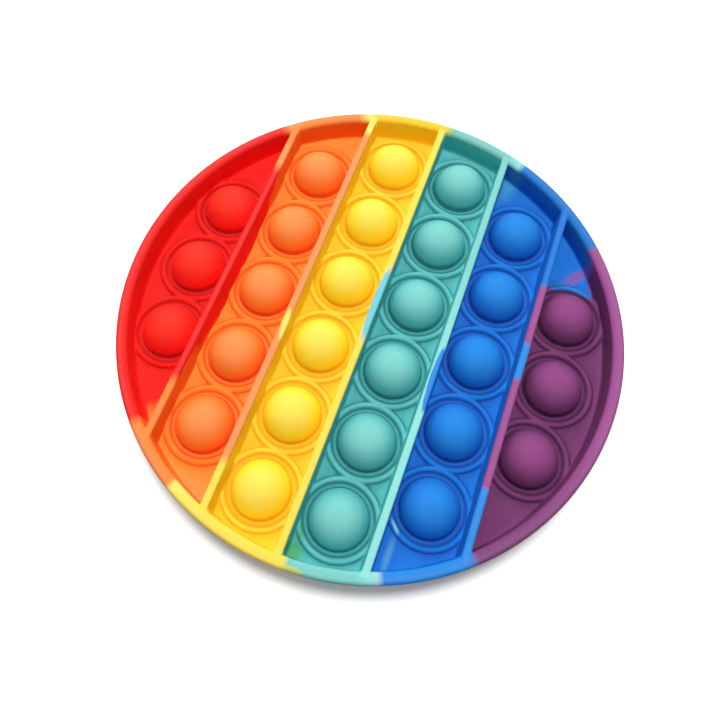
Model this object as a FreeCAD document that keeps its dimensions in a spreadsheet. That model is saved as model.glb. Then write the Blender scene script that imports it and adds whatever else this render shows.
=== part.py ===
# Bubble pop fidget toy: one moulded silicone sheet with a raised rim, straight ribs and hollow bubbles.
# Millimetres, +Z up, +X across the columns of bubbles, +Y along the ribs.
# The origin is the middle of the underside, where the rim rests.
import FreeCAD, Part
import math
import os
import Sketcher

# Driving dimensions of the toy, one cell each
SIZES = {
    "disc_diameter": 125.0,
    "body_height": 15.0,
    "rim_width": 2.9,
    "rim_outer_edge": 0.8,
    "rim_inner_edge": 0.4,
    "web_thickness": 1.8,
    "rib_width": 1.9,
    "rib_pitch": 19.2,
    "rib_step": 0.2,
    "rib_edge": 0.35,
    "bubble_pitch": 19.1,
    "middle_column_shift": 0.4,
    "outer_end_shift": 1.2,
    "dome_radius": 7.1,
    "dome_top_step": 0.4,
    "dome_wall": 0.8,
    "foot_rise": 0.6,
    "seat_rise": 0.3,
    "seat_width": 1.2,
    "bead_width": 1.8,
    "bead_rise": 0.9,
}

# A bubble has flat sides, few enough for a light model, and facets that meet at these angles up the dome
BUBBLE_SIDES = 16
DOME_ANGLES = (0, 27, 53, 77)
HOLLOW_ANGLES = (0, 33, 68)
HOLLOW_OVERSHOOT = 2.0

# How many bubbles the columns have, from the middle column outwards, the same on both sides
COLUMN_COUNTS = (6, 5, 3)
RIBS_EACH_SIDE = 2

# Levels and radii that several features share
WEB_LOW = "(sizes.body_height - sizes.web_thickness) / 2"
WEB_HIGH = "(sizes.body_height + sizes.web_thickness) / 2"
RIM_OUTER = "sizes.disc_diameter / 2"
RIM_INNER = "(sizes.disc_diameter / 2 - sizes.rim_width)"
RIM_MIDDLE = "(sizes.disc_diameter / 2 - sizes.rim_width / 2)"
SEAT_RADIUS = "sizes.dome_radius + sizes.seat_width"
BEAD_CREST = "sizes.dome_radius + sizes.seat_width + sizes.bead_width / 2"
BEAD_RADIUS = "sizes.dome_radius + sizes.seat_width + sizes.bead_width"
HOLLOW_RADIUS = "(sizes.dome_radius - sizes.dome_wall)"
DOME_FOOT = f"({WEB_HIGH} + sizes.foot_rise)"
DOME_RISE = f"(sizes.body_height - sizes.dome_top_step - {DOME_FOOT})"

doc = FreeCAD.newDocument("bubble_pop_toy")
sheet = doc.addObject("Spreadsheet::Sheet", "sizes")
for row, (alias, number) in enumerate(SIZES.items(), start=1):
    sheet.set(f"A{row}", alias)
    sheet.set(f"B{row}", str(number))
    sheet.setAlias(f"B{row}", alias)
doc.recompute()


def origin_plane(body, role):
    """The origin plane of a body that has this role."""
    for feature in body.Origin.OriginFeatures:
        if feature.Role == role:
            return feature
    raise ValueError(role)


def section_sketch(body, name, corners):
    """A closed profile on the XZ plane through corners, each a pair of expressions.

    None in place of an expression keeps the corner on that axis.
    """
    sketch = body.newObject("Sketcher::SketchObject", name)
    sketch.AttachmentSupport = [(origin_plane(body, "XZ_Plane"), "")]
    sketch.MapMode = "FlatFace"
    count = len(corners)
    turn = 2 * math.pi / count
    ring = [FreeCAD.Vector(2 + math.cos(turn * i), 2 + math.sin(turn * i), 0) for i in range(count)]
    for i in range(count):
        sketch.addGeometry(Part.LineSegment(ring[i], ring[(i + 1) % count]), False)
    for i in range(count):
        sketch.addConstraint(Sketcher.Constraint("Coincident", i, 2, (i + 1) % count, 1))
    for i, (across, up) in enumerate(corners):
        if across is None:
            sketch.addConstraint(Sketcher.Constraint("PointOnObject", i, 1, -2))
        else:
            index = sketch.addConstraint(Sketcher.Constraint("DistanceX", -1, 1, i, 1, ring[i].x))
            sketch.setExpression(f"Constraints[{index}]", across)
        if up is None:
            sketch.addConstraint(Sketcher.Constraint("PointOnObject", i, 1, -1))
        else:
            index = sketch.addConstraint(Sketcher.Constraint("DistanceY", -1, 1, i, 1, ring[i].y))
            sketch.setExpression(f"Constraints[{index}]", up)
    doc.recompute()
    return sketch


def make_plate():
    """The rim, the web at half its height, and the ribs, which stand out of both faces."""
    body = doc.addObject("PartDesign::Body", "plate")
    inner_edge = f"{RIM_INNER} + sizes.rim_inner_edge"
    outer_edge = f"{RIM_OUTER} - sizes.rim_outer_edge"
    disc = section_sketch(body, "disc_section", [
        (None, WEB_LOW),
        (RIM_INNER, WEB_LOW),
        (RIM_INNER, "sizes.rim_inner_edge"),
        (inner_edge, None),
        (outer_edge, None),
        (RIM_OUTER, "sizes.rim_outer_edge"),
        (RIM_OUTER, "sizes.body_height - sizes.rim_outer_edge"),
        (outer_edge, "sizes.body_height"),
        (inner_edge, "sizes.body_height"),
        (RIM_INNER, "sizes.body_height - sizes.rim_inner_edge"),
        (RIM_INNER, WEB_HIGH),
        (None, WEB_HIGH),
    ])
    turned = body.newObject("PartDesign::Revolution", "rim_and_web")
    turned.Profile = disc
    turned.ReferenceAxis = (disc, ["V_Axis"])
    turned.Angle = 360
    body.Tip = turned
    doc.recompute()

    low = "sizes.rib_step"
    high = "sizes.body_height - sizes.rib_step"
    ribs = []
    for number in range(RIBS_EACH_SIDE + 1):
        rib = section_sketch(body, f"rib_section_{number}", [
            ("sizes.rib_edge", low),
            ("sizes.rib_width - sizes.rib_edge", low),
            ("sizes.rib_width", f"{low} + sizes.rib_edge"),
            ("sizes.rib_width", f"{high} - sizes.rib_edge"),
            ("sizes.rib_width - sizes.rib_edge", high),
            ("sizes.rib_edge", high),
            (None, f"{high} - sizes.rib_edge"),
            (None, f"{low} + sizes.rib_edge"),
        ])
        rib.setExpression("AttachmentOffset.Base.x", f"sizes.rib_pitch * {number} - sizes.rib_width / 2")
        pad = body.newObject("PartDesign::Pad", f"rib_{number}")
        pad.Profile = rib
        pad.SideType = "Symmetric"
        pad.setExpression("Length", f"2 * sqrt({RIM_MIDDLE} ^ 2 - (sizes.rib_pitch * {number}) ^ 2)")
        body.Tip = pad
        ribs.append(pad)
    doc.recompute()

    opposite = body.newObject("PartDesign::Mirrored", "ribs_opposite")
    opposite.Originals = ribs[1:]
    opposite.MirrorPlane = (origin_plane(body, "YZ_Plane"), [""])
    body.Tip = opposite
    doc.recompute()
    return body


def stacked_loft(name, levels):
    """A solid through many-sided outlines, one above the other, from pairs of radius and height."""
    outlines = []
    for number, (radius, height) in enumerate(levels):
        outline = doc.addObject("Part::RegularPolygon", f"{name}_outline_{number}")
        outline.Polygon = BUBBLE_SIDES
        outline.setExpression("Circumradius", radius)
        outline.setExpression("Placement.Base.z", height)
        outlines.append(outline)
    loft = doc.addObject("Part::Loft", name)
    loft.Sections = outlines
    loft.Solid = True
    loft.Ruled = True
    loft.Linearize = True
    return loft


def make_bubble_form():
    """The outside of a bubble: the dome, its seat, and a bead round it on both faces of the web."""
    levels = [
        (BEAD_CREST, f"{WEB_LOW} - sizes.bead_rise"),
        (BEAD_RADIUS, WEB_LOW),
        (BEAD_RADIUS, WEB_HIGH),
        (BEAD_CREST, f"{WEB_HIGH} + sizes.bead_rise"),
        (SEAT_RADIUS, f"{WEB_HIGH} + sizes.seat_rise"),
    ]
    for angle in DOME_ANGLES:
        levels.append((f"sizes.dome_radius * cos({angle} deg)", f"{DOME_FOOT} + {DOME_RISE} * sin({angle} deg)"))
    return stacked_loft("bubble_form", levels)


def make_bubble_hollow():
    """The cup under a dome, open through the underside."""
    levels = [(HOLLOW_RADIUS, f"{WEB_LOW} - sizes.bead_rise - {HOLLOW_OVERSHOOT}")]
    for angle in HOLLOW_ANGLES:
        radius = f"{HOLLOW_RADIUS} * cos({angle} deg)"
        levels.append((radius, f"{DOME_FOOT} + ({DOME_RISE} - sizes.dome_wall) * sin({angle} deg)"))
    return stacked_loft("bubble_hollow", levels)


def bubble_places():
    """The middle of every bubble, as a name and two expressions, column by column."""
    places = []
    for side_name, side in (("left", -1), ("right", 1)):
        for column, count in enumerate(COLUMN_COUNTS):
            for index in range(count):
                along = index - (count - 1) / 2
                across = f"sizes.rib_pitch * {column + 0.5}"
                if column == 1:
                    across += " - sizes.middle_column_shift"
                if column == 2 and along != 0:
                    across += " - sizes.outer_end_shift"
                name = f"{side_name}_{column + 1}_{index + 1}"
                places.append((name, f"{side} * ({across})", f"sizes.bubble_pitch * {along}"))
    return places


def copy_of(form, name, across, along):
    """A linked copy of a form, moved in plan by two expressions."""
    link = doc.addObject("App::Link", name)
    link.setLink(form)
    link.setExpression("Placement.Base.x", across)
    link.setExpression("Placement.Base.y", along)
    return link


plate = make_plate()
form = make_bubble_form()
hollow = make_bubble_hollow()
doc.recompute()
forms = []
hollows = []
for place, across, along in bubble_places():
    forms.append(copy_of(form, f"bubble_{place}", across, along))
    hollows.append(copy_of(hollow, f"hollow_{place}", across, along))

moulding = doc.addObject("Part::MultiFuse", "moulding")
moulding.Shapes = [plate] + forms
cups = doc.addObject("Part::Compound", "cups")
cups.Links = hollows
bubble_sheet = doc.addObject("Part::Cut", "bubble_sheet")
bubble_sheet.Base = moulding
bubble_sheet.Tool = cups
bubble_sheet.Label = "bubble_sheet"
doc.recompute()

for item in doc.Objects:
    if "Invalid" in item.State or "Error" in item.State:
        raise RuntimeError(f"{item.Name} failed")

sub_parts = [bubble_sheet]
for part in sub_parts:
    shape = part.Shape
    if shape.isNull() or not shape.isValid():
        raise RuntimeError(f"{part.Label} has no valid shape")
    if len(shape.Solids) != 1:
        raise RuntimeError(f"{part.Label} is not one solid")

os.makedirs("parts", exist_ok=True)
for part in sub_parts:
    part.Shape.exportStep(f"parts/{part.Label}.step")
    box = part.Shape.BoundBox
    print(part.Label, round(part.Shape.Volume, 1), box, len(part.Shape.Faces))
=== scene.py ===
import math

import bpy
import numpy as np
from bpy.props import FloatProperty, FloatVectorProperty, PointerProperty
from bpy.types import Operator, Panel, PropertyGroup
from mathutils import Matrix, Vector
from mathutils.geometry import delaunay_2d_cdt


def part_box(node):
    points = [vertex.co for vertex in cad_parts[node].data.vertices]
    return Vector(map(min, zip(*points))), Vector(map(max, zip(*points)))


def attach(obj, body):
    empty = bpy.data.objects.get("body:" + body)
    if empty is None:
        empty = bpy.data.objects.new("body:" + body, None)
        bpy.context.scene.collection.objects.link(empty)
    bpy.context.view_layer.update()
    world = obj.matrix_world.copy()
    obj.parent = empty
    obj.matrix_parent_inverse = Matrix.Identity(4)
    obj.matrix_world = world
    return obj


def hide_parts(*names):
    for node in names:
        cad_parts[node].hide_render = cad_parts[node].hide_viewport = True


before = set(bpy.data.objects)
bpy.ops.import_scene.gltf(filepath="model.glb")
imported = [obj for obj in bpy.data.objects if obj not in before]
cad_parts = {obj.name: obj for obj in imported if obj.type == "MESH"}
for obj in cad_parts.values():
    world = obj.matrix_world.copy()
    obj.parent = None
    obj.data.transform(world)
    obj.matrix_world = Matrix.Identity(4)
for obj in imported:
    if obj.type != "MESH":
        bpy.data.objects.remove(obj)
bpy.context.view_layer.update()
NODE = "bubble_sheet"
SHEET_LOW, SHEET_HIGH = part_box(NODE)

bl_info = {
    "name": "Bubble Pop Toy",
    "version": (1, 0, 0),
    "blender": (4, 5, 0),
    "location": "View3D > Sidebar > Bubble Toy",
    "description": "Moulds a round silicone bubble toy in six colours and sets it on a white table",
    "category": "Add Mesh",
}

MM = 0.001

# What rounding may make of two equal lengths, in millimetres
TINY = 1e-6

# The picture's side in pixels, and the camera's sensor in millimetres
IMAGE_WIDTH = 720
SENSOR_WIDTH = 36.0

# The columns from left to right, with how many bubbles each has
COLUMN_NAMES = ("red", "orange", "yellow", "teal", "blue", "purple")
COLUMN_COUNTS = (3, 5, 6, 6, 5, 3)
RIB_COUNT = 5

# The toy's colours as they come out of the mould, sRGB
HEX = {
    "red": "#E80E02",
    "orange": "#F88C2C",
    "tangerine": "#FA8638",
    "yellow": "#FCC420",
    "lemon": "#FCD84C",
    "canary": "#FFDC1E",
    "cyan": "#70C6D4",
    "leaf": "#52AC64",
    "maroon": "#A80000",
    "rust": "#DC4600",
    "amber": "#E0A200",
    "petrol": "#0C6A6C",
    "navy": "#043C94",
    "aubergine": "#38103A",
    "teal": "#54B2B2",
    "blue": "#0270CC",
    "purple": "#723268",
    "peach": "#FC9252",
    "pale_yellow": "#FFE068",
    "pale_mint": "#8CDAD2",
    "sky": "#1A84DA",
    "green": "#74BC7C",
    "lilac": "#B8BCD8",
    "rose": "#98488A",
    "plum": "#7E3E76",
    "azure": "#0870C0",
    "sea": "#74BCB4",
    "aqua": "#78C8C2",
    "scarlet": "#EC1408",
    "poppy": "#FF1004",
    "flame": "#FF7C1C",
    "lagoon": "#54CACA",
}

# Each column's domes: the colour of their sides, for the warm columns a brighter one than the web's,
# painted light lifting the shade there; the colour they turn to towards the top, a painted highlight; and
# how far
DOMES = {
    "red": ("poppy", "peach", 0.06),
    "orange": ("flame", "peach", 0.8),
    "yellow": ("canary", "pale_yellow", 0.6),
    "teal": ("teal", "aqua", 1.0),
    "blue": ("blue", "sky", 0.85),
    "purple": ("purple", "rose", 0.6),
}

# The heights in millimetres between which a dome pales towards its top, a painted highlight
DOME_HIGHLIGHT_HEIGHTS = (11.8, 14.2)

# The painted highlight on the crests of each column's rings: the colour its silicone turns to there, and
# how far
CREST_HIGHLIGHTS = {
    "red": ("poppy", 0.5),
    "orange": ("flame", 0.8),
    "yellow": ("lemon", 0.6),
    "teal": ("aqua", 0.4),
    "blue": ("sky", 0.35),
    "purple": ("rose", 0.1),
}

# The colour of the rim's and the ribs' walls in each column, brighter than the column's own in the red,
# orange, yellow and teal columns: painted light lifting the shade on the walls
LIGHTENED_WALLS = {"red": "poppy", "orange": "flame", "yellow": "canary", "teal": "lagoon", "blue": "blue",
         "purple": "purple"}

# The painted shade in each column's creases: the darker colour its silicone turns to there, and how far
CREASE_SHADE = {"red": "maroon", "orange": "rust", "yellow": "amber", "teal": "petrol", "blue": "navy",
          "purple": "aubergine"}
CREASE_SHADE_STRENGTH = 0.85

# How far the rim and the ribs turn to white along the middle of their tops, a painted highlight
TOP_HIGHLIGHT = 0.035

# How far the edges of the colours wander, in millimetres
WAVINESS = 0.3

# The rim's colours round from +X, each with the angle in degrees where it is clear
RIM_COLOURS = (
    (0.0, "rose"), (38.0, "rose"), (38.5, "azure"), (66.5, "azure"), (67.0, "pale_mint"), (72.0, "sea"),
    (85.5, "sea"), (88.0, "green"), (89.3, "yellow"), (107.0, "yellow"), (110.5, "pale_yellow"),
    (111.5, "tangerine"), (126.5, "tangerine"), (131.5, "peach"), (132.6, "scarlet"), (226.0, "scarlet"),
    (226.6, "tangerine"), (242.0, "tangerine"), (242.6, "pale_yellow"), (251.0, "lemon"), (271.7, "lemon"),
    (272.3, "green"), (273.2, "aqua"), (286.5, "aqua"), (290.8, "pale_mint"), (291.5, "lilac"),
    (292.0, "sky"), (310.6, "sky"), (311.2, "plum"), (326.0, "plum"), (350.0, "rose"),
)

# Each rib's colours along it from its near end, each with the place in millimetres where it is clear,
# within this reach of the middle
RIB_REACH = 60.0
RIB_COLOURS = (
    ((-60.0, "tangerine"), (-33.0, "tangerine"), (-30.0, "red"), (31.0, "red"), (34.5, "peach"),
     (38.0, "peach"), (43.0, "tangerine")),
    ((-60.0, "lemon"), (-46.5, "lemon"), (-44.0, "peach"), (51.0, "peach"), (53.0, "pale_yellow")),
    ((-60.0, "lemon"), (60.0, "lemon")),
    ((-60.0, "pale_mint"), (-10.0, "pale_mint"), (25.0, "aqua"), (60.0, "aqua")),
    ((-60.0, "sky"), (-31.0, "sky"), (-30.0, "rose"), (-3.5, "rose"), (-2.5, "sky"), (6.0, "sky"),
     (7.5, "rose"), (22.5, "rose"), (24.0, "blue")),
)

# Where one colour has flowed into another: colour, middle, half size, turn in degrees, softness, strength,
# in millimetres in plan
PATCHES = {
    "red": (("orange", (-39.0, -47.3), (7.6, 10.0), 0, 0.2, 0.65),
            ("red", (-47.2, -41.1), (4.0, 9.0), 41, 0.1, 1.0)),
    "orange": (("peach", (-25.0, -53.5), (4.0, 3.0), 0, 0.6, 0.6),
               ("poppy", (-37.9, 3.0), (0.9, 31.0), 0, 0.1, 1.0)),
    "yellow": (),
    "teal": (("leaf", (2.6, -53.2), (0.55, 2.2), 8, 0.6, 0.8),
             ("leaf", (2.6, -57.6), (1.9, 2.0), 0, 0.6, 0.9)),
    "blue": (("teal", (22.5, 54.0), (2.2, 5.5), -10, 0.7, 0.4),
             ("pale_mint", (22.8, -51.2), (0.7, 4.6), 0, 0.8, 0.3),
             # A painted highlight on the crest of a bead, in pale mint
             ("pale_mint", (22.3, -44.8), (0.4, 1.5), 41, 0.6, 0.75)),
    "purple": (("blue", (45.0, 59.7), (30.0, 33.3), 0, 0.02, 1.0),
               ("rose", (46.9, 32.7), (3.2, 1.25), 46, 0.8, 0.7),
               ("sky", (47.4, 28.3), (4.4, 0.9), -3, 0.5, 0.7),
               ("purple", (46.8, 18.9), (8.8, 8.8), 0, 0.03, 1.0),
               ("purple", (54.9, 29.8), (3.4, 13.0), 31, 0.06, 1.0)),
    "rim": (("lemon", (3.8, -61.9), (2.6, 0.8), 4, 0.5, 0.8),
            ("leaf", (4.6, -61.9), (2.6, 0.8), 4, 0.5, 0.35)),
    "rib_1": (),
    "rib_2": (("pale_yellow", (-18.9, -9.3), (0.85, 4.3), 6, 0.25, 0.9),),
    "rib_3": (("cyan", (0.3, 3.95), (1.35, 10.3), 0, 0.2, 1.0),),
    "rib_4": (("sky", (19.7, -10.0), (1.0, 8.5), 0, 0.1, 1.0),),
    "rib_5": (),
}

# The mesh: steps round the rim, the angles up a dome and a cup where circles lie, the circles across a ring
# as shares of its half width, and the circles beside a crease and round a cup's edge, in millimetres
RIM_SEGMENTS = 300
DOME_ANGLES = (1, 8, 17, 28, 40, 53, 66, 78)
CUP_ANGLES = (0, 14, 32, 50, 70)
BUMP_SHARES = (-0.85, -0.55, 0.0, 0.55, 0.85)
CREASE_SIDE = 0.24
CUP_EDGE = 0.12


def linear(hex_colour):
    """An sRGB hex colour as linear red, green and blue."""
    channels = [int(hex_colour[i:i + 2], 16) / 255 for i in (1, 3, 5)]
    return tuple(c / 12.92 if c <= 0.04045 else ((c + 0.055) / 1.055) ** 2.4 for c in channels)


def length(name, millimetres, description):
    """A length property in metres whose default is given in millimetres."""
    return FloatProperty(name=name, default=millimetres * MM, unit="LENGTH", precision=5,
                         description=description)


def colour(name, key, description):
    """A colour property whose default is one of the toy's colours."""
    return FloatVectorProperty(name=name, default=linear(HEX[key]), subtype="COLOR", size=3, min=0, max=1,
                               description=description)


class ToySizes(PropertyGroup):
    disc_diameter: length("Disc diameter", (SHEET_HIGH[0] - SHEET_LOW[0]) / MM, "Width over the rim")
    body_height: length("Height", (SHEET_HIGH[2] - SHEET_LOW[2]) / MM, "Height of the rim")
    rim_width: length("Rim width", 2.9, "Width of the rim from its outer to its inner wall")
    web_thickness: length("Web thickness", 1.8, "Thickness of the web between the bubbles")
    rib_width: length("Rib width", 1.9, "Width of a rib at its top")
    rib_pitch: length("Rib pitch", 19.2, "Distance between the middles of two ribs")
    rib_step: length("Rib step", 0.2, "How far the ribs stay below the rim")
    bubble_pitch: length("Bubble pitch", 19.1, "Distance between bubbles in a column")
    middle_column_shift: length("Middle column shift", 0.4, "How far the second columns sit inwards")
    outer_end_shift: length("Outer end shift", 1.2,
                            "How far the end bubbles of the outer columns sit inwards")
    dome_radius: length("Dome radius", 7.1, "Outer radius of a dome at its foot")
    dome_top_step: length("Dome top step", 0.4, "How far the domes stay below the rim")
    dome_wall: length("Dome wall", 0.8, "Thickness of a dome")
    seat_width: length("Seat width", 1.2, "Width of the ring round the foot of a dome")
    seat_rise: length("Seat rise", 0.4, "Height of that ring above the web")
    bead_width: length("Bead width", 1.8, "Width of the outer bead of a bubble")
    bead_rise: length("Bead rise", 0.9, "Height of the bead above the web")
    crease_width: length("Crease width", 0.46, "Width of the creases beside the seat and the bead")
    crease_depth: length("Crease depth", 1.1, "Depth of those creases")


class ToyColours(PropertyGroup):
    # Peach, pale yellow, sky, rose and aqua, besides their places on the rim and the ribs, are the painted
    # highlights towards the dome tops; lemon, aqua, sky and rose also paint the highlights on the ring
    # crests, and pale mint one bead's highlight in the blue column
    red: colour("Red", "red", "First column")
    orange: colour("Orange", "orange", "Second column")
    yellow: colour("Yellow", "yellow", "Third column")
    lemon: colour("Lemon", "lemon", "Yellow on the rim and the ribs")
    teal: colour("Teal", "teal", "Fourth column")
    blue: colour("Blue", "blue", "Fifth column")
    purple: colour("Purple", "purple", "Sixth column")
    peach: colour("Peach", "peach", "Where orange runs thin")
    pale_yellow: colour("Pale yellow", "pale_yellow", "Where yellow runs thin")
    pale_mint: colour("Pale mint", "pale_mint", "Where teal runs thin")
    sky: colour("Sky", "sky", "Where blue runs thin")
    green: colour("Green", "green", "Where yellow and teal meet")
    lilac: colour("Lilac", "lilac", "Where teal and blue meet")
    rose: colour("Rose", "rose", "Purple on the rim and the ribs")
    aqua: colour("Aqua", "aqua", "Teal on the rim")
    scarlet: colour("Scarlet", "scarlet", "Red on the rim")
    # Poppy, flame, lagoon and canary are brighter copies of column colours: painted light lifting the shade
    # on dome sides and walls, and for poppy and flame a painted highlight on the ring crests; poppy is also
    # the red that has run onto the first rib's wall
    poppy: colour("Poppy", "poppy", "Sides of the red domes")
    flame: colour("Flame", "flame", "Sides of the orange domes")
    lagoon: colour("Lagoon", "lagoon", "Walls of the fourth column")
    canary: colour("Canary", "canary", "Sides of the yellow domes")
    cyan: colour("Cyan", "cyan", "Where teal has run onto the middle rib")
    leaf: colour("Leaf", "leaf", "Where yellow has run into teal")
    # Maroon, rust, amber, petrol, navy and aubergine are painted shade in the creases
    maroon: colour("Maroon", "maroon", "Creases of the first column")
    rust: colour("Rust", "rust", "Creases of the second column")
    amber: colour("Amber", "amber", "Creases of the third column")
    petrol: colour("Petrol", "petrol", "Creases of the fourth column")
    navy: colour("Navy", "navy", "Creases of the fifth column")
    aubergine: colour("Aubergine", "aubergine", "Creases of the sixth column")
    tangerine: colour("Tangerine", "tangerine", "Orange on the rim and the ribs")
    plum: colour("Plum", "plum", "Purple on the near rim")
    azure: colour("Azure", "azure", "Blue on the far rim")
    sea: colour("Sea", "sea", "Teal on the far rim")


class Moulding:
    """The toy's surface as two heights over the plan, in millimetres, from the sizes in the sidebar."""

    # A dome starts this far above the web, the crease round its foot runs this far outside it, and the
    # seat's section starts this far inside it
    FOOT_RISE, FOOT_CREASE_OFFSET, SEAT_TUCK = 0.15, 0.08, 0.05
    # Creases are shallower on the underside
    UNDERSIDE_CREASES = 0.2
    # The ribs' tops run into the rim by this share of its width, and by this much more for rounding
    RIB_LAP, RIB_END = 0.42, 0.02
    # The crest of the rim's top lies this far in, and it and the ribs' crests have these half widths, where
    # highlights are painted
    RIM_CREST_IN, RIM_CREST_HALF, RIB_CREST_HALF = 1.2, 0.6, 0.45
    # The crests of the rings narrow with this power of their height
    RING_CREST_POWER = 4
    # How far the seat and the bead are in the shade, where a crease is 1
    SEAT_SHADE, BEAD_SHADE = 0.4, 0.25
    # What rises this far above the web belongs to the rim or a rib
    FRAME_FOOT = 0.1

    def __init__(self, sizes):
        for name in ToySizes.__annotations__:
            setattr(self, name, getattr(sizes, name) / MM)
        self.outer = self.disc_diameter / 2
        self.inner = self.outer - self.rim_width
        self.web_high = (self.body_height + self.web_thickness) / 2
        self.web_low = (self.body_height - self.web_thickness) / 2
        self.seat_radius = self.dome_radius + self.seat_width
        self.bead_radius = self.seat_radius + self.bead_width
        self.hollow_radius = self.dome_radius - self.dome_wall
        self.dome_foot = self.web_high + self.FOOT_RISE
        self.rib_lap = self.RIB_LAP * self.rim_width
        self.creases = (self.dome_radius + self.FOOT_CREASE_OFFSET, self.seat_radius, self.bead_radius)
        self.crease_half = self.crease_width / 2
        self.ribs = [(number - (RIB_COUNT - 1) / 2) * self.rib_pitch for number in range(RIB_COUNT)]
        self.bubbles = self.bubble_places()
        # Corners of the sections, as (distance, height below the top): a rounded top, a wall and its root
        half = self.rib_width / 2
        drop = self.body_height - self.rib_step - self.web_high
        self.rib_section = [(0, 0), (half - 0.4, 0), (half - 0.2, 0.05), (half - 0.07, 0.2), (half, 0.5),
                            (half + 0.24, drop - 1.5), (half + 0.3, drop - 0.45),
                            (half + 0.38, drop - 0.12), (half + 0.52, drop)]
        self.rib_walls = [distance for distance, _ in self.rib_section[-4:]]
        drop = self.body_height - self.web_high
        self.rim_section = [(-0.5, drop), (-0.3, drop - 0.12), (-0.2, drop - 0.5), (-0.15, drop - 1.5),
                            (0, 0.85), (0.12, 0.47), (0.36, 0.2), (0.7, 0.05), (1.1, 0)]
        self.rim_outside = [(-0.95, 0), (-0.6, 0.06), (-0.32, 0.22), (-0.12, 0.48), (0, 0.9)]

    def bubble_places(self):
        """The middle of every bubble in plan, column by column."""
        places = []
        middle = (len(COLUMN_COUNTS) - 1) / 2
        for column, count in enumerate(COLUMN_COUNTS):
            steps_out = abs(column - middle)
            side = math.copysign(1, column - middle)
            for index in range(count):
                along = index - (count - 1) / 2
                across = self.rib_pitch * steps_out
                if count == 5:
                    across -= self.middle_column_shift
                if count == 3 and along != 0:
                    across -= self.outer_end_shift
                places.append((side * across, along * self.bubble_pitch))
        return places

    def nearest_bubble(self, x, y):
        """Distance from each point to the middle of the nearest bubble."""
        nearest = np.full(x.shape, np.inf)
        for across, along in self.bubbles:
            nearest = np.minimum(nearest, np.hypot(x - across, y - along))
        return nearest

    def rib_distance(self, x):
        """Distance from each point to the middle line of the nearest rib."""
        return np.min([np.abs(x - rib) for rib in self.ribs], axis=0)

    def rings(self, distance, crease_depth):
        """How far the seat and the bead rise above the web, at a distance from a bubble's middle."""
        rise = np.zeros_like(distance)
        for low, high, top in ((self.dome_radius - self.SEAT_TUCK, self.seat_radius, self.seat_rise),
                               (self.seat_radius, self.bead_radius, self.bead_rise)):
            middle = (low + high) / 2
            across = np.clip(1 - np.abs((distance - middle) / (high - middle)) ** 2, 0, 1)
            rise = np.maximum(rise, top * across ** 0.5)
        for crease in self.creases:
            rise -= crease_depth * np.exp(-((distance - crease) / self.crease_half) ** 2)
        return rise

    def relief(self, x, y):
        """How far each point is a crest, up to 1, or a crease or shaded part of the rings, below 0, for
        painting highlights and shade.
        """
        distance = self.nearest_bubble(x, y)
        crest = np.clip(self.rings(distance, 0) / self.bead_rise, 0, 1) ** self.RING_CREST_POWER
        crease = np.max([np.exp(-((distance - at) / self.crease_half) ** 2) for at in self.creases], axis=0)
        on_rings = (distance >= self.dome_radius) & (distance < self.bead_radius)
        shade = np.where(distance < self.seat_radius, self.SEAT_SHADE, self.BEAD_SHADE)
        crease += np.where(on_rings, shade, 0)
        from_rim_crest = np.hypot(x, y) - self.outer + self.RIM_CREST_IN
        rim_crest = np.exp(-(from_rim_crest / self.RIM_CREST_HALF) ** 2)
        rib_crest = np.exp(-(self.rib_distance(x) / self.RIB_CREST_HALF) ** 2)
        frame_crest = np.maximum(rim_crest, rib_crest)
        return np.where(self.frame_rise(x, y) > self.FRAME_FOOT, frame_crest, crest - crease)

    def frame_rise(self, x, y):
        """How far the rim and the ribs rise above the web."""
        radius = np.hypot(x, y)
        top = self.body_height - self.web_high
        distances, drops = zip(*self.rim_section)
        rim = top - np.interp(radius - self.inner, distances, drops)
        distances, drops = zip(*self.rim_outside)
        rim = np.minimum(rim, top - np.interp(radius - self.outer, distances, drops))
        distances, drops = zip(*self.rib_section)
        rib = top - self.rib_step - np.interp(self.rib_distance(x), distances, drops)
        rib = np.where(radius > self.inner + self.rib_lap + self.RIB_END, 0, rib)
        return np.maximum(rim, rib)

    def top(self, x, y):
        """Height of the upper surface."""
        distance = self.nearest_bubble(x, y)
        rise = soft_union(self.frame_rise(x, y), self.rings(distance, self.crease_depth))
        height = self.web_high + rise
        dome_rise = self.body_height - self.dome_top_step - self.dome_foot
        bow = np.sqrt(np.clip(1 - (distance / self.dome_radius) ** 2, 0, 1))
        return np.where(distance < self.dome_radius, self.dome_foot + dome_rise * bow, height)

    def underside(self, x, y):
        """Height of the lower surface: the same rim, ribs and beads, and the cups under the domes."""
        distance = self.nearest_bubble(x, y)
        creases = self.UNDERSIDE_CREASES * self.crease_depth
        rise = soft_union(self.frame_rise(x, y), self.rings(distance, creases))
        height = self.web_low - rise
        cup_rise = self.body_height - self.dome_top_step - self.dome_wall - self.dome_foot
        bow = np.sqrt(np.clip(1 - (distance / self.hollow_radius) ** 2, 0, 1))
        return np.where(distance <= self.hollow_radius + TINY, self.dome_foot + cup_rise * bow, height)


def soft_union(first, second, blend=0.22):
    """The larger of two heights, eased together where they are nearly equal."""
    share = np.clip(0.5 + 0.5 * (first - second) / blend, 0, 1)
    eased = second * (1 - share) + first * share + blend * share * (1 - share)
    return np.where((first <= 0) | (second <= 0), np.maximum(first, second), eased)


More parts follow.
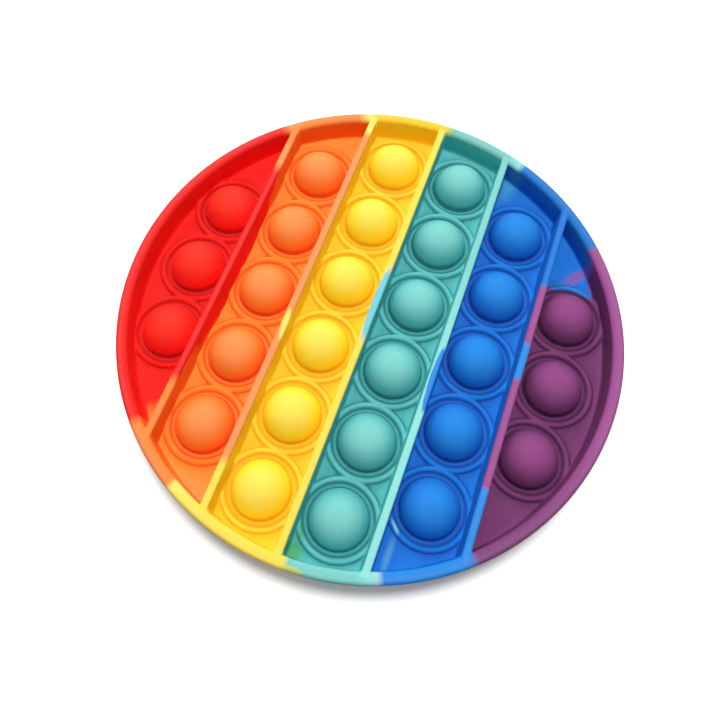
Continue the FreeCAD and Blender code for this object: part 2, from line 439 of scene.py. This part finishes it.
class Plan:
    """Points and lines over the toy's plan that its surface is drawn on, in millimetres."""

    # The side of the squares in which points are looked up
    CELL = 0.5
    # The least distance between two points, in rows and on the lines where beads meet
    NEAREST, NEAREST_ON_MEETING = 0.04, 0.1
    # How far the rows round the rim and the bubbles stay clear of a rib's wall
    RIM_ROW_CLEAR, BUBBLE_ROW_CLEAR = 0.1, 0.06
    # How far the rows round a bubble stay clear of the rim and of a neighbour's row
    CLEAR_OF_RIM, CLEAR_OF_ROW = 0.3, 0.03
    # The last step of a row along a rib is no shorter than this
    SHORTEST_STEP = 0.3
    # Rows on a rib's walls end this far short of the rim, and circles this far past its end still break
    SHORT_OF_RIM, PAST_RIB_END = 0.05, 0.05
    # Rows within these shares of the dome's radius have fewer segments
    UPPER_DOME, DOME_CAP = 0.75, 0.3
    FEWEST_SEGMENTS = 12
    MEETING_POINTS = 11
    # Loose points stay this far inside the rim, and this share of their spacing from other points
    FILL_CLEAR_OF_RIM, FILL_CLEARANCE = 1.2, 0.62

    def __init__(self, moulding):
        self.moulding = moulding
        self.points = []
        self.lines = []
        self.cells = {}

    def is_free(self, x, y, clearance):
        """Whether no point lies within the clearance."""
        reach = int(math.ceil(clearance / self.CELL))
        column, row = int(math.floor(x / self.CELL)), int(math.floor(y / self.CELL))
        for i in range(column - reach, column + reach + 1):
            for j in range(row - reach, row + reach + 1):
                for index in self.cells.get((i, j), ()):
                    other = self.points[index]
                    if (other[0] - x) ** 2 + (other[1] - y) ** 2 < clearance ** 2:
                        return False
        return True

    def add(self, x, y, clearance=NEAREST):
        """Adds a point and returns its number, or None if another is too near."""
        if not self.is_free(x, y, clearance):
            return None
        self.points.append((x, y))
        cell = (int(math.floor(x / self.CELL)), int(math.floor(y / self.CELL)))
        self.cells.setdefault(cell, []).append(len(self.points) - 1)
        return len(self.points) - 1

    def row(self, places, closed=False, clearance=NEAREST):
        """Adds places in order, None for a gap, and joins neighbours."""
        numbers = []
        for place in places:
            numbers.append(None if place is None else self.add(*place, clearance))
        following = numbers[1:] + (numbers[:1] if closed else [])
        for first, second in zip(numbers, following):
            if first is not None and second is not None:
                self.lines.append((first, second))

    def rim_rows(self, segments):
        """Circles along the rim's section, which end on the rib's walls where a rib runs into it."""
        m = self.moulding
        offsets = [m.inner + distance for distance, _ in m.rim_section]
        offsets += [(m.inner + m.outer) / 2]
        offsets += [m.outer + distance for distance, _ in m.rim_outside]
        steps = [2 * math.pi * step / segments for step in range(segments)]
        for radius in offsets:
            angles = list(steps)
            broken = set()
            if radius < m.inner + m.rib_lap + self.PAST_RIB_END:
                clear = m.rib_walls[-1] + self.RIM_ROW_CLEAR
                angles = [a for a in steps if m.rib_distance(radius * math.cos(a)) > clear]
                for rib in m.ribs:
                    across = [rib] + [rib + side * wall for side in (-1, 1) for wall in m.rib_walls]
                    for number, x in enumerate(across):
                        half = [math.acos(x / radius), 2 * math.pi - math.acos(x / radius)]
                        angles += half
                        if number == 0:
                            broken.update(half)
            places = [None if a in broken else (radius * math.cos(a), radius * math.sin(a))
                      for a in sorted(angles)]
            self.row(places, closed=True)

    def rib_rows(self, spacing):
        """Straight lines along each rib's section, from rim to rim."""
        m = self.moulding
        for rib in m.ribs:
            distances = [distance for distance, _ in m.rib_section]
            for offset in [-d for d in distances[:0:-1]] + distances:
                on_top = abs(offset) <= m.rib_width / 2 + TINY
                reach = m.inner + m.rib_lap if on_top else m.inner - self.SHORT_OF_RIM
                x = rib + offset
                half = math.sqrt(reach ** 2 - x ** 2)
                count = int(half // spacing)
                steps = [i * spacing for i in range(-count, count + 1)]
                if half - count * spacing > self.SHORTEST_STEP:
                    steps = [-half] + steps + [half]
                self.row([(x, y) for y in steps])

    def bubble_rows(self, radii, segments, upper_segments):
        """Circles round every bubble, broken at ribs, at the rim and where a neighbour's circle begins.

        High up a dome they have the second number of segments, and fewer still at its top.
        """
        m = self.moulding
        rib_wall = m.rib_walls[1] + self.BUBBLE_ROW_CLEAR
        for number, (across, along) in enumerate(m.bubbles):
            others = m.bubbles[:number] + m.bubbles[number + 1:]
            for radius in radii:
                count = segments
                if radius < self.UPPER_DOME * m.dome_radius:
                    count = upper_segments
                if radius < self.DOME_CAP * m.dome_radius:
                    count = max(self.FEWEST_SEGMENTS, count // 2)
                places = []
                for step in range(count):
                    angle = 2 * math.pi * step / count
                    x, y = across + radius * math.cos(angle), along + radius * math.sin(angle)
                    hidden = radius > m.dome_radius and (
                        m.rib_distance(x) < rib_wall
                        or math.hypot(x, y) > m.inner - self.CLEAR_OF_RIM
                        or any(math.hypot(x - b[0], y - b[1]) < radius + self.CLEAR_OF_ROW for b in others))
                    places.append(None if hidden else (x, y))
                self.row(places, closed=True)
            self.add(across, along)

    def meeting_rows(self):
        """Short rows on the line where the beads of two neighbours meet."""
        m = self.moulding
        for i, (ax, ay) in enumerate(m.bubbles):
            for bx, by in m.bubbles[i + 1:]:
                gap = math.hypot(bx - ax, by - ay)
                if gap >= 2 * m.bead_radius or abs(ax - bx) > m.rib_pitch / 2:
                    continue
                half = math.sqrt(m.bead_radius ** 2 - (gap / 2) ** 2)
                ux, uy = (by - ay) / gap, -(bx - ax) / gap
                mx, my = (ax + bx) / 2, (ay + by) / 2
                steps = np.linspace(-half, half, self.MEETING_POINTS)
                self.row([(mx + ux * s, my + uy * s) for s in steps], clearance=self.NEAREST_ON_MEETING)

    def fill(self, spacing):
        """Loose points over what is left, so that no face is long and thin."""
        m = self.moulding
        steps = np.arange(-m.outer, m.outer, spacing)
        for row, y in enumerate(steps):
            for x in steps + (row % 2) * spacing / 2:
                if math.hypot(x, y) < m.inner - self.FILL_CLEAR_OF_RIM:
                    self.add(float(x), float(y), self.FILL_CLEARANCE * spacing)

    def surface(self, height):
        """Vertices and faces of this plan lifted to a height function."""
        points = [Vector(point) for point in self.points]
        # Triangles over the whole hull of the points, which is the rim's outer circle
        all_triangles, nearness = 0, 1e-5
        found = delaunay_2d_cdt(points, self.lines, [], all_triangles, nearness, False)
        flat = np.array([tuple(v) for v in found[0]])
        heights = height(flat[:, 0], flat[:, 1])
        return np.column_stack([flat, heights]), [tuple(face) for face in found[2]]


def boundary(vertices, radius):
    """Vertices on the circle of this radius, in order of their angle."""
    nearness, digits = 1e-3, 6
    on_edge = np.nonzero(np.abs(np.hypot(vertices[:, 0], vertices[:, 1]) - radius) < nearness)[0]
    angles = np.arctan2(vertices[on_edge, 1], vertices[on_edge, 0])
    return on_edge[np.argsort(np.round(angles, digits) % round(2 * math.pi, digits))]


def drawn_plan(moulding, radii, segments, upper_segments, rib_spacing, fill_spacing):
    """The plan of one face of the toy, with circles of these radii round its bubbles."""
    plan = Plan(moulding)
    plan.rim_rows(RIM_SEGMENTS)
    plan.rib_rows(rib_spacing)
    plan.meeting_rows()
    plan.bubble_rows(radii, segments, upper_segments)
    plan.fill(fill_spacing)
    return plan


def circles_up(radius, angles):
    """Radii of the circles round a dome at these angles up it, in degrees."""
    return [radius * math.cos(math.radians(angle)) for angle in angles]


def sheet_mesh(moulding):
    """The whole moulding as one closed mesh, in metres."""
    m = moulding
    bumps = []
    for low, high in ((m.dome_radius, m.seat_radius), (m.seat_radius, m.bead_radius)):
        middle = (low + high) / 2
        bumps += [middle + share * (high - low) / 2 for share in BUMP_SHARES]
    creases = [crease + side for crease in m.creases for side in (-CREASE_SIDE, 0.0, CREASE_SIDE)]
    dome = [m.dome_radius] + circles_up(m.dome_radius, DOME_ANGLES)
    upper = drawn_plan(m, dome + creases[1:] + bumps, segments=64, upper_segments=48, rib_spacing=1.3,
                       fill_spacing=1.6)
    cup = [m.hollow_radius + CUP_EDGE] + circles_up(m.hollow_radius, CUP_ANGLES)
    lower = drawn_plan(m, cup + [m.seat_radius, m.bead_radius] + bumps, segments=48, upper_segments=32,
                       rib_spacing=1.8, fill_spacing=2.4)

    top_vertices, top_faces = upper.surface(m.top)
    low_vertices, low_faces = lower.surface(m.underside)
    # The underside's faces turned over, and a wall between the two outer circles
    offset = len(top_vertices)
    faces = list(top_faces)
    faces += [tuple(offset + i for i in reversed(face)) for face in low_faces]
    ring_high = boundary(top_vertices, m.outer)
    ring_low = boundary(low_vertices, m.outer) + offset
    count = len(ring_high)
    for i in range(count):
        j = (i + 1) % count
        faces.append((int(ring_low[i]), int(ring_low[j]), int(ring_high[j]), int(ring_high[i])))
    vertices = np.vstack([top_vertices, low_vertices]) * MM
    mesh = bpy.data.meshes.new("bubble_sheet_skin")
    mesh.from_pydata(vertices.tolist(), [], faces)
    relief = np.concatenate([m.relief(top_vertices[:, 0], top_vertices[:, 1]), np.zeros(len(low_vertices))])
    mesh.attributes.new("relief", "FLOAT", "POINT").data.foreach_set("value", relief)
    mesh.validate()
    return mesh


def add_node(tree, kind, inputs=None, links=None, **settings):
    """Adds a node, sets its properties and inputs, and links sockets into its inputs."""
    node = tree.nodes.new(kind)
    for name, setting in settings.items():
        setattr(node, name, setting)
    for key, value in (inputs or {}).items():
        node.inputs[key].default_value = value
    for key, socket in (links or {}).items():
        tree.links.new(socket, node.inputs[key])
    return node


def vector_math(tree, operation, vector, other=None, **inputs):
    """A vector worked on by another, which is a socket or plain numbers, or by a named input."""
    links = {0: vector}
    if isinstance(other, bpy.types.NodeSocket):
        links[1] = other
    elif other is not None:
        inputs[1] = other
    node = add_node(tree, "ShaderNodeVectorMath", inputs, links, operation=operation)
    return node.outputs["Value" if operation == "LENGTH" else "Vector"]


def place_on_toy(tree):
    """The place on the toy in millimetres, shifted a little so that the edges of colours run unevenly."""
    place = add_node(tree, "ShaderNodeTexCoord").outputs["Object"]
    place = vector_math(tree, "SCALE", place, Scale=1 / MM)
    noise = add_node(tree, "ShaderNodeTexNoise", {"Scale": 0.3, "Detail": 1.0}, {"Vector": place})
    wave = vector_math(tree, "SUBTRACT", noise.outputs["Color"], (0.5, 0.5, 0.5))
    return vector_math(tree, "ADD", place, vector_math(tree, "SCALE", wave, Scale=WAVINESS))


def colour_row(tree, colours, position, stops, low, high):
    """A colour that runs through stops, each a position between low and high and a colour."""
    share = add_node(tree, "ShaderNodeMapRange", {"From Min": low, "From Max": high},
                     {"Value": position})
    ramp = add_node(tree, "ShaderNodeValToRGB", links={"Fac": share.outputs["Result"]})
    elements = ramp.color_ramp.elements
    elements.remove(elements[1])
    for number, (at, key) in enumerate(stops):
        element = elements[0] if number == 0 else elements.new((at - low) / (high - low))
        element.color = (*getattr(colours, key), 1)
    return ramp.outputs["Color"]


def flowed_in(tree, base, other, place, middle, half, turn, softness, strength):
    """The base colour with another colour over an oval patch of it."""
    any_height = 1000
    away = vector_math(tree, "SUBTRACT", place, (*middle, 0))
    away = add_node(tree, "ShaderNodeVectorRotate", {"Angle": -math.radians(turn)}, {"Vector": away},
                    rotation_type="Z_AXIS").outputs["Vector"]
    away = vector_math(tree, "DIVIDE", away, (*half, any_height))
    away = vector_math(tree, "LENGTH", away)
    share = add_node(tree, "ShaderNodeMapRange",
                     {"From Min": 1 + softness, "From Max": 1 - softness, "To Max": strength},
                     {"Value": away}, interpolation_type="SMOOTHSTEP")
    return mixed(tree, base, other, share.outputs["Result"])


def mixed(tree, first, second, share):
    """The first colour turning to the second one by a share, each a socket or a plain colour."""
    mix = add_node(tree, "ShaderNodeMix", links={"Factor": share}, data_type="RGBA")
    for key, ingredient in (("A", first), ("B", second)):
        if isinstance(ingredient, bpy.types.NodeSocket):
            tree.links.new(ingredient, mix.inputs[key])
        else:
            mix.inputs[key].default_value = (*ingredient, 1)
    return mix.outputs["Result"]


def painted_light_by_relief(tree, first, second, crest, strength):
    """A painted highlight or shade: a colour turning to the second one towards the crests, for crest 1, or
    the creases, for crest -1.
    """
    relief = add_node(tree, "ShaderNodeAttribute", attribute_name="relief")
    share = add_node(tree, "ShaderNodeMapRange", {"From Max": crest, "To Max": strength},
                     {"Value": relief.outputs["Fac"]})
    return mixed(tree, first, second, share.outputs["Result"])


def base_colour(tree, colours, place, surface, key):
    """The silicone's colour on one kind of surface, painted lighter on domes, ring crests and walls, as a
    socket, or as a plain colour on a wall.

    The key is the column's name, or the rib's number from 0.
    """
    # Painted light: the walls take a brighter colour than their column
    if surface == "wall":
        return getattr(colours, LIGHTENED_WALLS[key])
    # Painted highlight: the crests of the rings turn lighter
    if surface == "web":
        crest, share = CREST_HIGHLIGHTS[key]
        return painted_light_by_relief(tree, getattr(colours, key), getattr(colours, crest), 1, share)
    parts = add_node(tree, "ShaderNodeSeparateXYZ", links={"Vector": place})
    if surface == "dome":
        side, highlight_colour, share = DOMES[key]
        # Painted highlight: the dome pales towards its top
        pale = add_node(tree, "ShaderNodeMapRange",
                        {"From Min": DOME_HIGHLIGHT_HEIGHTS[0], "From Max": DOME_HIGHLIGHT_HEIGHTS[1], "To Max": share},
                        {"Value": parts.outputs["Z"]})
        return mixed(tree, getattr(colours, side), getattr(colours, highlight_colour), pale.outputs["Result"])
    if surface == "rib":
        return colour_row(tree, colours, parts.outputs["Y"], RIB_COLOURS[key], -RIB_REACH, RIB_REACH)
    angle = add_node(tree, "ShaderNodeMath", links={0: parts.outputs["Y"], 1: parts.outputs["X"]},
                     operation="ARCTAN2")
    angle = add_node(tree, "ShaderNodeMath", {1: 2 * math.pi}, {0: angle.outputs[0]},
                     operation="FLOORED_MODULO")
    degrees = add_node(tree, "ShaderNodeMath", links={0: angle.outputs[0]}, operation="DEGREES")
    return colour_row(tree, colours, degrees.outputs[0], RIM_COLOURS, 0, 360)


def moulded_silicone(name, colours, surface, key=None, patches=()):
    """Silicone rubber pressed in a mould.

    The colours ran into one another in the mould. The skin is soft and matt, and light goes a little way
    in, so that edges look rounded and shades stay warm. Light and shade are also painted into the colour:
    highlights on the dome tops and crests, shade in the creases, and brighter walls and dome sides.
    """
    material = bpy.data.materials.new(name)
    material.use_nodes = True
    tree = material.node_tree
    shader = tree.nodes["Principled BSDF"]
    by_place = patches or surface in ("dome", "rib", "rim")
    place = place_on_toy(tree) if by_place else None
    skin = base_colour(tree, colours, place, surface, key)
    for other, *region in patches:
        skin = flowed_in(tree, skin, getattr(colours, other), place, *region)
    # Painted shade deepens the colour in the creases of webs and domes
    if surface in ("web", "dome"):
        skin = painted_light_by_relief(tree, skin, getattr(colours, CREASE_SHADE[key]), -1, CREASE_SHADE_STRENGTH)
    # Painted highlight along the middle of the rim's and the ribs' tops
    elif surface in ("rib", "rim"):
        skin = painted_light_by_relief(tree, skin, (1, 1, 1), 1, TOP_HIGHLIGHT)
    if isinstance(skin, bpy.types.NodeSocket):
        tree.links.new(skin, shader.inputs["Base Color"])
    else:
        shader.inputs["Base Color"].default_value = (*skin, 1)
    shader.inputs["Roughness"].default_value = 0.8
    shader.inputs["IOR"].default_value = 1.41
    shader.inputs["Subsurface Weight"].default_value = 0.2
    shader.inputs["Subsurface Radius"].default_value = (1.0, 0.8, 0.7)
    shader.inputs["Subsurface Scale"].default_value = 0.6 * MM
    return material


class TOY_OT_bubble_sheet(Operator):
    """Mould the toy as one closed skin over its solid"""
    bl_idname = "toy.bubble_sheet"
    bl_label = "Bubble Sheet"

    # How far in millimetres the colours of the ribs' tops lap their walls and the rim's keep off its wall,
    # and how far above the web the walls' colours start
    ON_RIB_WALL, OFF_RIM_WALL, WALL_FOOT = 0.02, 0.01, 0.35

    def execute(self, context):
        moulding = Moulding(context.scene.toy_sizes)
        mesh = sheet_mesh(moulding)
        colours = context.scene.toy_colours
        for surface, ending in (("web", ""), ("dome", "_dome"), ("wall", "_wall")):
            for column in COLUMN_NAMES:
                patches = () if surface == "dome" else PATCHES[column]
                mesh.materials.append(moulded_silicone(f"moulded_silicone_{column}{ending}", colours,
                                                       surface, column, patches))
        for rib in range(RIB_COUNT):
            mesh.materials.append(moulded_silicone(f"moulded_silicone_rib_{rib + 1}", colours, "rib", rib,
                                                   PATCHES[f"rib_{rib + 1}"]))
        mesh.materials.append(moulded_silicone("moulded_silicone_rim", colours, "rim",
                                               patches=PATCHES["rim"]))
        self.share_out(mesh, moulding)
        piece = bpy.data.objects.new("bubble_sheet_skin", mesh)
        context.scene.collection.objects.link(piece)
        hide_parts(NODE)
        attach(piece, "root")
        return {"FINISHED"}

    def share_out(self, mesh, moulding):
        """Gives each face the material of the column, the dome, the wall, the rib or the rim it lies on."""
        middles = np.array([polygon.center for polygon in mesh.polygons]) / MM
        x, y = middles[:, 0], middles[:, 1]
        radius = np.hypot(x, y)
        ribs = np.array(moulding.ribs)
        away = np.abs(middles[:, :1] - ribs)
        columns = len(COLUMN_NAMES)
        on_dome = moulding.nearest_bubble(x, y) < moulding.dome_radius
        on_rib = away.min(axis=1) < moulding.rib_width / 2 + self.ON_RIB_WALL
        on_rib &= radius < moulding.inner + moulding.rib_lap
        on_rim = (radius > moulding.inner + self.OFF_RIM_WALL) & ~on_rib
        on_wall = (moulding.frame_rise(x, y) > self.WALL_FOOT) & ~on_dome
        column = np.searchsorted(ribs, x)
        index = column + np.where(on_dome, columns, 0)
        index = np.where(on_wall, 2 * columns + column, index)
        index = np.where(on_rib, 3 * columns + away.argmin(axis=1), index)
        index = np.where(on_rim, 3 * columns + RIB_COUNT, index)
        mesh.polygons.foreach_set("material_index", index.astype(np.int32))
        mesh.polygons.foreach_set("use_smooth", np.ones(len(index), dtype=bool))


class TOY_OT_stage(Operator):
    """Set the white table, the soft light and the camera"""
    bl_idname = "toy.stage"
    bl_label = "Stage"

    TABLE_HALF = 1.5
    # How white the table is as a bounce of light onto the toy, and to the eye
    BOUNCE, SEEN = 0.3, 0.95
    # The table glows for the eye from the near strength to the far one between these distances in metres
    GLOW_DISTANCES, GLOW_STRENGTHS = (0.2, 0.5), (0.2, 1.0)
    # The lamps' names, diameters in metres, watts and places
    LAMPS = (("top_box", 0.16, 4.2, (-0.01, 0.062, 0.695)), ("back_box", 0.3, 2.2, (-0.256, 0.549, 0.35)))
    # How bright the room is as light on the toy
    ROOM = 0.13

    def execute(self, context):
        self.floor(context)
        self.lights(context)
        self.camera(context)
        return {"FINISHED"}

    def floor(self, context):
        """A table of matt white laminate: it takes the toy's soft shadow and is pure white further off."""
        mesh = bpy.data.meshes.new("table_top")
        size = self.TABLE_HALF
        mesh.from_pydata([(-size, -size, 0), (size, -size, 0), (size, size, 0), (-size, size, 0)], [],
                         [(0, 1, 2, 3)])
        table = bpy.data.objects.new("table_top", mesh)
        context.scene.collection.objects.link(table)
        material = bpy.data.materials.new("white_laminate")
        material.use_nodes = True
        tree = material.node_tree
        shader = tree.nodes["Principled BSDF"]
        shader.inputs["Roughness"].default_value = 0.9
        shader.inputs["Emission Color"].default_value = (1, 1, 1, 1)
        path = add_node(tree, "ShaderNodeLightPath")
        seen = add_node(tree, "ShaderNodeMath",
                        links={0: path.outputs["Is Camera Ray"], 1: path.outputs["Is Glossy Ray"]},
                        operation="MAXIMUM")
        paint = mixed(tree, (self.BOUNCE,) * 3, (self.SEEN,) * 3, seen.outputs[0])
        place = add_node(tree, "ShaderNodeTexCoord")
        away = vector_math(tree, "LENGTH", place.outputs["Object"])
        glow = add_node(tree, "ShaderNodeMapRange",
                        {"From Min": self.GLOW_DISTANCES[0], "From Max": self.GLOW_DISTANCES[1],
                         "To Min": self.GLOW_STRENGTHS[0], "To Max": self.GLOW_STRENGTHS[1]},
                        {"Value": away})
        glow = add_node(tree, "ShaderNodeMath", links={0: glow.outputs["Result"], 1: seen.outputs[0]},
                        operation="MULTIPLY")
        tree.links.new(paint, shader.inputs["Base Color"])
        tree.links.new(glow.outputs[0], shader.inputs["Emission Strength"])
        mesh.materials.append(material)

    def lights(self, context):
        """A soft lamp above, a weaker low one behind to the left, and a white room that glows a little."""
        world = bpy.data.worlds.new("white_room")
        context.scene.world = world
        world.use_nodes = True
        background = world.node_tree.nodes["Background"]
        background.inputs["Color"].default_value = (1, 1, 1, 1)
        path = add_node(world.node_tree, "ShaderNodeLightPath")
        seen = add_node(world.node_tree, "ShaderNodeMapRange", {"To Min": self.ROOM, "To Max": 1.0},
                        {"Value": path.outputs["Is Camera Ray"]})
        world.node_tree.links.new(seen.outputs["Result"], background.inputs["Strength"])
        for name, size, energy, place in self.LAMPS:
            lamp = bpy.data.lights.new(name, "AREA")
            lamp.shape = "DISK"
            lamp.size = size
            lamp.energy = energy
            holder = bpy.data.objects.new(name, lamp)
            holder.location = place
            holder.rotation_euler = (-holder.location).to_track_quat("-Z", "Y").to_euler()
            context.scene.collection.objects.link(holder)

    def camera(self, context):
        """The photograph's view: nearly from above, turned a little to the right of the ribs."""
        azimuth, elevation, roll = math.radians(19.7), math.radians(69.2), math.radians(0.8)
        distance, focal_pixels = 0.1702, 635.9
        target = Vector((-0.0052, -0.0047, 0))
        centre_x, centre_y = 343.4, 347.3
        back = Vector((math.sin(azimuth) * math.cos(elevation), -math.cos(azimuth) * math.cos(elevation),
                       math.sin(elevation)))
        right = Vector((math.cos(azimuth), math.sin(azimuth), 0))
        up = back.cross(right)
        turned_right = right * math.cos(roll) + up * math.sin(roll)
        turned_up = up * math.cos(roll) - right * math.sin(roll)
        data = bpy.data.cameras.new("photo_camera")
        data.sensor_width = SENSOR_WIDTH
        data.lens = focal_pixels * SENSOR_WIDTH / IMAGE_WIDTH
        data.shift_x = (IMAGE_WIDTH / 2 - centre_x) / IMAGE_WIDTH
        data.shift_y = (centre_y - IMAGE_WIDTH / 2) / IMAGE_WIDTH
        data.clip_start = 0.01
        holder = bpy.data.objects.new("photo_camera", data)
        turn = Matrix((turned_right, turned_up, back)).transposed().to_4x4()
        holder.matrix_world = Matrix.Translation(target + back * distance) @ turn
        context.scene.collection.objects.link(holder)
        context.scene.camera = holder


class TOY_PT_panel(Panel):
    """The toy's sizes, its colours and a button for each step"""
    bl_idname = "TOY_PT_panel"
    bl_label = "Bubble Toy"
    bl_space_type = "VIEW_3D"
    bl_region_type = "UI"
    bl_category = "Bubble Toy"

    def draw(self, context):
        for group in (context.scene.toy_sizes, context.scene.toy_colours):
            box = self.layout.box()
            for name in type(group).__annotations__:
                box.prop(group, name)
        for operator in OPERATORS:
            self.layout.operator(operator.bl_idname)


OPERATORS = (TOY_OT_bubble_sheet, TOY_OT_stage)
CLASSES = (ToySizes, ToyColours, *OPERATORS, TOY_PT_panel)


def register():
    for cls in CLASSES:
        bpy.utils.register_class(cls)
    bpy.types.Scene.toy_sizes = PointerProperty(type=ToySizes)
    bpy.types.Scene.toy_colours = PointerProperty(type=ToyColours)


def unregister():
    del bpy.types.Scene.toy_colours
    del bpy.types.Scene.toy_sizes
    for cls in reversed(CLASSES):
        bpy.utils.unregister_class(cls)


def main():
    register()
    bpy.context.scene.view_settings.view_transform = "Standard"
    bpy.ops.toy.bubble_sheet()
    bpy.ops.toy.stage()


if __name__ == "__main__":
    main()
